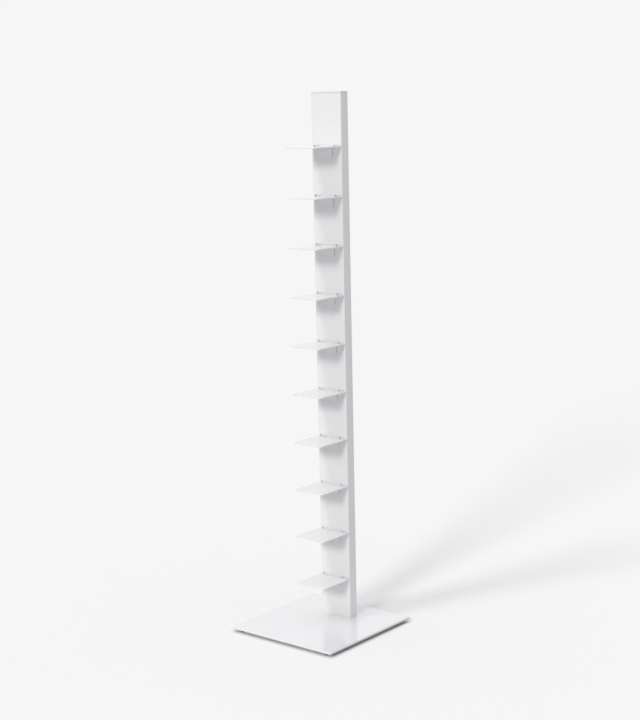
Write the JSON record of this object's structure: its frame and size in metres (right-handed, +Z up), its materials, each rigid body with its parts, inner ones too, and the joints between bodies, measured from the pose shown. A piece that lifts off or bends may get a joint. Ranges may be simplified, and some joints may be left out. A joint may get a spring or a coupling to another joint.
{
  "type": "spine bookshelf",
  "caption": "Free-standing spine bookshelf: square steel base plate on rubber feet, flat rectangular column and short hooked-in shelves for books stacked flat.",
  "frame": {"origin": "on the floor under the middle of the base plate", "axes": "+Z up along the column, -Y to the front where the shelves point, +X to the right seen from the front"},
  "size_m": [0.35, 0.35, 1.46],
  "materials": {
    "white_powder_coat": "satin white powder coat",
    "white_plastic": "matt moulded",
    "black_rubber": "matt moulded",
    "zinc_plated_steel": "bright zinc plate",
    "bare_steel": "machined"
  },
  "bodies": {
    "root": {"base_plate": "white_powder_coat", "rubber_foot_front_left": "black_rubber", "rubber_foot_front_right": "black_rubber", "rubber_foot_rear_left": "black_rubber", "rubber_foot_rear_right": "black_rubber", "foot_washers": "zinc_plated_steel", "foot_screws": "zinc_plated_steel", "base_screws": "zinc_plated_steel", "column_tube": "white_powder_coat", "column_foot_block": "bare_steel", "column_top_cap": "white_plastic", "shelf_01": "white_powder_coat", "shelf_02": "white_powder_coat", "shelf_03": "white_powder_coat", "shelf_04": "white_powder_coat", "shelf_05": "white_powder_coat", "shelf_06": "white_powder_coat", "shelf_07": "white_powder_coat", "shelf_08": "white_powder_coat", "shelf_09": "white_powder_coat", "shelf_10": "white_powder_coat"}
  },
  "joints": []
}
